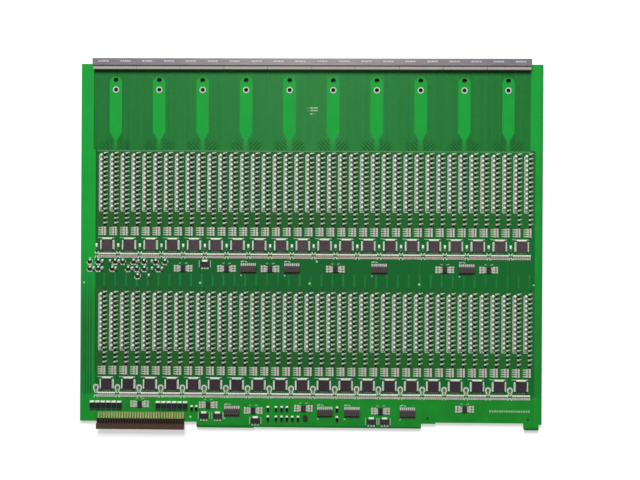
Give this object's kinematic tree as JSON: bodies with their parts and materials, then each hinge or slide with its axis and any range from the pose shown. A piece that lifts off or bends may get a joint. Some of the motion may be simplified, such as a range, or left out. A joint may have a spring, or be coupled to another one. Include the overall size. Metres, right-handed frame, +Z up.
{
  "type": "connector backplane",
  "caption": "Wide green circuit board with a long rail of sockets on one edge, banks of switch chips and chip resistors, and a cable header on the other edge.",
  "frame": {"origin": "middle of the part's box, on the underside of the board", "axes": "+X along the connector rail, +Y towards the rail's edge, +Z up from the board's face"},
  "size_m": [0.2964, 0.2378, 0.0069],
  "materials": {
    "solder_mask": "glossy green solder mask over glass laminate",
    "rail_metal": "satin grey",
    "insert_plastic": "light grey moulding",
    "contact_gold": "gold plate",
    "header_plastic": "brown moulding",
    "chip_mould": "dark moulding compound",
    "lead_tin": "tinned",
    "dark_ceramic": "black glaze",
    "tan_ceramic": "tan sintered"
  },
  "bodies": {
    "root": {"amplifier_chips": "chip_mould", "amplifier_resistors": "tan_ceramic", "bypass_capacitors_lower": "tan_ceramic", "bypass_capacitors_upper": "tan_ceramic", "bypass_strips_lower": "tan_ceramic", "bypass_strips_upper": "tan_ceramic", "capacitor_columns_lower": "tan_ceramic", "capacitor_columns_upper": "tan_ceramic", "circuit_board": "solder_mask", "cluster_capacitors": "tan_ceramic", "coil": "dark_ceramic", "connector_insert_01": "insert_plastic", "connector_insert_02": "insert_plastic", "connector_insert_03": "insert_plastic", "connector_insert_04": "insert_plastic", "connector_insert_05": "insert_plastic", "connector_insert_06": "insert_plastic", "connector_insert_07": "insert_plastic", "connector_insert_08": "insert_plastic", "connector_insert_09": "insert_plastic", "connector_insert_10": "insert_plastic", "connector_rail": "rail_metal", "contact_tongues": "contact_gold", "ferrite_beads": "dark_ceramic", "header_contacts": "contact_gold", "header_housing": "header_plastic", "logic_chip_01": "chip_mould", "logic_chip_02": "chip_mould", "logic_chip_03": "chip_mould", "logic_chip_04": "chip_mould", "logic_chip_05": "chip_mould", "logic_chip_06": "chip_mould", "logic_chip_07": "chip_mould", "logic_chip_08": "chip_mould", "logic_chip_leads": "lead_tin", "pull_up_resistors": "dark_ceramic", "regulators": "chip_mould", "resistor_columns_lower": "dark_ceramic", "resistor_columns_upper": "dark_ceramic", "resistor_networks_lower": "tan_ceramic", "resistor_networks_upper": "tan_ceramic", "switch_chip_leads_lower": "lead_tin", "switch_chip_leads_upper": "lead_tin", "switch_chips_lower": "chip_mould", "switch_chips_upper": "chip_mould", "transistors": "chip_mould"}
  },
  "joints": []
}
